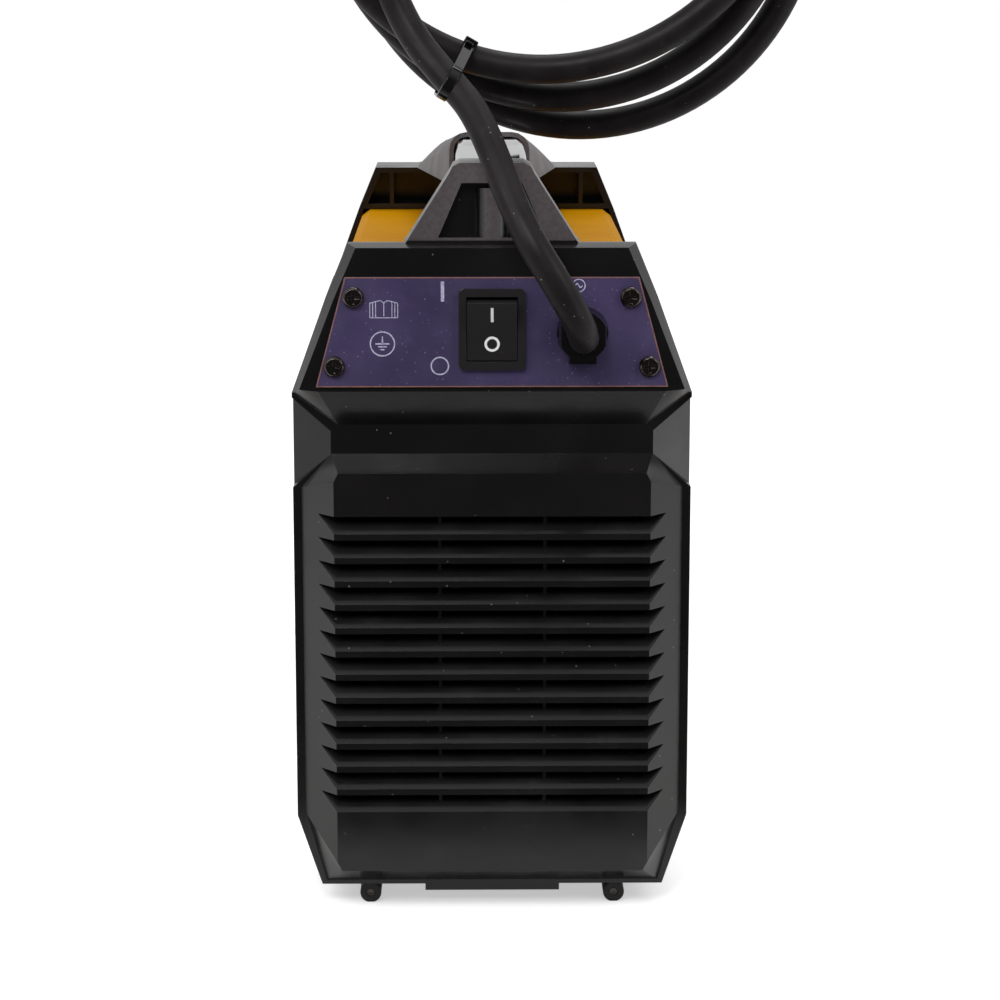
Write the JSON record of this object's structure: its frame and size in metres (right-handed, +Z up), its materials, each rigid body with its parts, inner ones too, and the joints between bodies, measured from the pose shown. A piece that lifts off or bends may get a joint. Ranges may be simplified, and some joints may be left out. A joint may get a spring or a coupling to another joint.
{
  "type": "inverter arc welder",
  "caption": "Portable inverter arc welder in a yellow steel case between black louvred end frames, with a top handle and a coiled mains cord.",
  "frame": {"origin": "Middle of the case's footprint, on the surface that its feet stand on", "axes": "+Y runs from the rear frame with the switch to the front panel with the output sockets, +Z is up, and +X is to the right seen from behind"},
  "size_m": [0.2176, 0.4454, 0.5094],
  "materials": {
    "black_shell": "smooth black ABS moulding with a soft sheen and fine dust",
    "yellow_sheet": "amber yellow powder coat, slightly textured",
    "tray_sheet": "galvanised sheet steel",
    "label_film": "speckled purple blue film with a copper edge",
    "black_screw": "blackened steel",
    "zinc_screw": "bright zinc-plated steel",
    "switch_black": "satin black nylon",
    "relief_black": "matt black nylon",
    "cord_rubber": "black rubber sheath, dusty",
    "foot_rubber": "dark grey rubber",
    "grip_gloss": "chrome-plated shell",
    "fan_plastic": "black glass-filled plastic",
    "board_green": "green solder mask",
    "can_sleeve": "dark blue shrink sleeve",
    "sink_aluminium": "extruded aluminium",
    "device_epoxy": "black moulded epoxy",
    "ferrite": "dark grey ferrite",
    "copper_winding": "enamelled copper wire",
    "brass_contact": "turned brass",
    "copper_bar": "bare copper strap",
    "socket_black": "black phenolic",
    "knob_black": "black fluted knob",
    "window_smoke": "smoked red window",
    "lamp_lens": "clear lens",
    "foam": "open-cell foam",
    "relay_blue": "blue relay case"
  },
  "bodies": {
    "case": {"rear_frame": "black_shell", "front_frame": "black_shell", "top_cover": "yellow_sheet", "base_tray": "tray_sheet", "rear_label_plate": "label_film", "front_label_plate": "label_film", "rear_label_screws": "black_screw", "front_label_screws": "black_screw", "cover_screws": "zinc_screw", "frame_screws": "black_screw", "base_screws": "zinc_screw", "arm_screws": "zinc_screw", "feet": "foot_rubber", "foot_screws": "black_screw", "handle_grip": "grip_gloss", "handle_underside": "black_shell", "handle_screws": "black_screw", "handle_front_arm": "black_shell", "switch_housing": "switch_black", "switch_terminals": "brass_contact", "strain_relief": "relief_black", "strain_relief_nut": "relief_black", "fan_frame": "fan_plastic", "fan_screws": "zinc_screw", "main_board": "board_green", "board_standoffs": "brass_contact", "bulk_capacitors": "can_sleeve", "rectifier_bridge": "device_epoxy", "soft_start_relay": "relay_blue", "inverter_heatsink": "sink_aluminium", "power_transistors": "device_epoxy", "output_heatsink": "sink_aluminium", "output_diodes": "device_epoxy", "transformer_core": "ferrite", "transformer_winding": "copper_winding", "output_choke_core": "ferrite", "output_choke_winding": "copper_winding", "positive_socket": "socket_black", "positive_contact": "brass_contact", "positive_busbar": "copper_bar", "negative_socket": "socket_black", "negative_contact": "brass_contact", "negative_busbar": "copper_bar", "socket_nuts": "brass_contact", "control_board": "board_green", "potentiometer": "zinc_screw", "display_window": "window_smoke", "display_module": "device_epoxy", "indicator_lamps": "lamp_lens", "filter_foam": "foam", "cord_lead": "cord_rubber", "cord_coil": "cord_rubber", "plug": "cord_rubber", "cable_tie": "relief_black"},
    "rocker": {"switch_rocker": "switch_black"},
    "fan_wheel": {"fan_rotor": "fan_plastic"},
    "knob": {"current_knob": "knob_black", "knob_shaft": "sink_aluminium"}
  },
  "joints": [
    {"name": "power_switch", "type": "hinge", "parent": "case", "child": "rocker", "pos_m": [0, -0.1982, 0.23165], "axis": [-1, 0, 0], "range_deg": [0, 20]},
    {"name": "fan_spin", "type": "hinge", "parent": "case", "child": "fan_wheel", "pos_m": [0, -0.1885, 0.1], "axis": [0, 1, 0], "continuous": true},
    {"name": "current_setting", "type": "hinge", "parent": "case", "child": "knob", "pos_m": [0.03, 0.188, 0.229], "axis": [0, -1, 0], "range_deg": [0, 300]}
  ]
}
